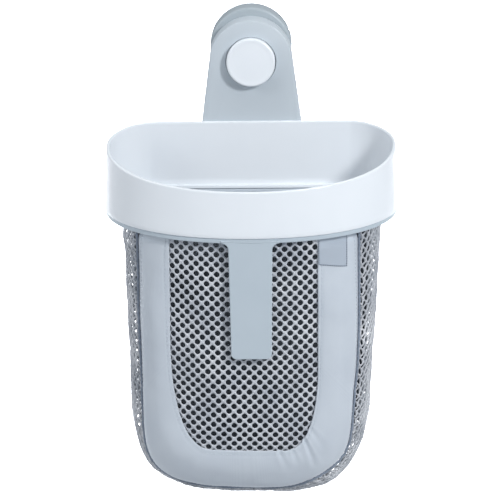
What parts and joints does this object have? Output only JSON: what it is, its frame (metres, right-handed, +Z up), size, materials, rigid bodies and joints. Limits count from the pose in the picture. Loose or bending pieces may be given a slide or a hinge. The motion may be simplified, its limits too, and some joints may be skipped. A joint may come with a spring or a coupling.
{
  "type": "bath toy organizer",
  "caption": "D-shaped bath toy basket with a cloth and net bag, a front tab and a grey tongue that hangs on a round peg of a suction mount.",
  "frame": {"origin": "centre of the suction cup's face, on the wall", "axes": "+Y into the wall, so the basket stands out towards -Y; +Z up; +X to the right as seen from the room"},
  "size_m": [0.254, 0.18, 0.4174],
  "materials": {
    "soft_plastic": "smooth soft plastic, slightly see-through",
    "grey_plastic": "moulded, satin",
    "white_plastic": "moulded, satin",
    "grey_cloth": "fine woven polyester",
    "net": "knitted net with holes of about 4 mm",
    "dark_mesh": "closely knitted mesh",
    "screw_steel": "plain"
  },
  "bodies": {
    "wall_mount": {"suction_cup": "soft_plastic", "mount_cap": "grey_plastic", "hanging_knob": "white_plastic", "knob_screw_1": "screw_steel", "knob_screw_2": "screw_steel", "knob_screw_3": "screw_steel"},
    "scoop": {"handle": "grey_plastic", "rim": "white_plastic", "hoop": "grey_plastic", "handle_screw_1": "screw_steel", "handle_screw_2": "screw_steel", "handle_screw_3": "screw_steel", "handle_screw_4": "screw_steel", "hoop_screw_1": "screw_steel", "hoop_screw_2": "screw_steel", "hoop_screw_3": "screw_steel", "hoop_screw_4": "screw_steel", "bag_hem": "grey_cloth", "front_panel": "grey_cloth", "window_net": "net", "gusset": "net", "back_panel": "dark_mesh"}
  },
  "joints": [
    {"name": "scoop_slide_off", "type": "slide", "parent": "wall_mount", "child": "scoop", "axis": [0, -0.9962, 0.0872], "range_m": [0, 0.06]}
  ]
}
